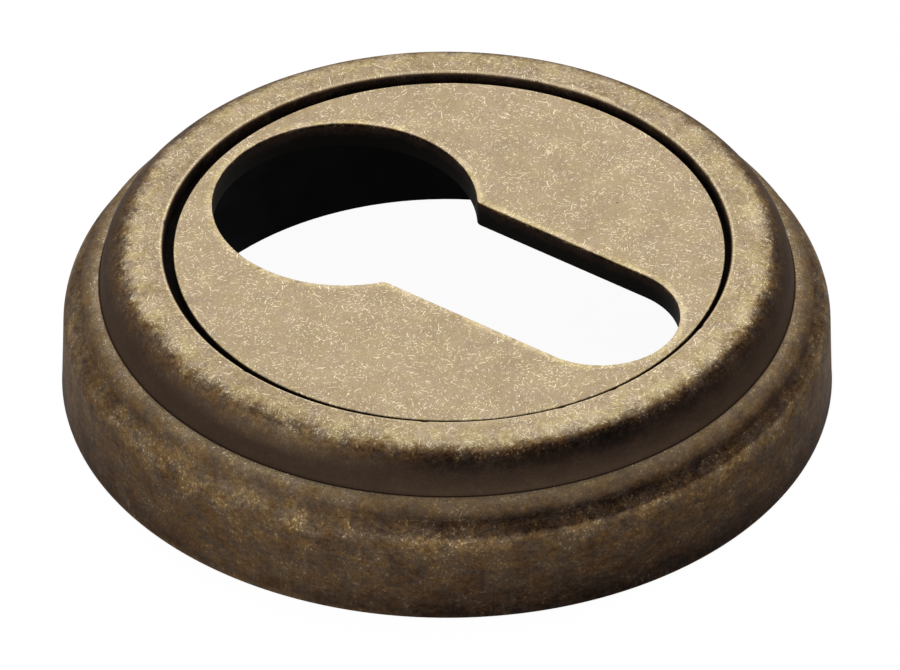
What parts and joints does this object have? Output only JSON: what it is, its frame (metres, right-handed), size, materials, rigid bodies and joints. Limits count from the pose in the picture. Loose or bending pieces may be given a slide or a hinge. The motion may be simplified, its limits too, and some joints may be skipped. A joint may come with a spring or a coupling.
{
  "type": "keyhole escutcheon",
  "caption": "Round moulded door escutcheon with a recessed face disc and an opening for a profile cylinder lock, in an aged bronze finish.",
  "frame": {"origin": "middle of the back face, on the door", "axes": "+Z out of the door; +Y from the narrow end of the keyhole to its round end; +X to the right when the round end is at the top"},
  "size_m": [0.05, 0.05, 0.011],
  "materials": {
    "aged_bronze": "relieved antique bronze: dark patina in the recesses, worn and finely scratched on the tops and edges",
    "black_nylon": "matt black, as moulded"
  },
  "bodies": {
    "root": {"trim_ring": "aged_bronze", "face_disc": "aged_bronze", "mounting_base": "black_nylon"}
  },
  "joints": []
}
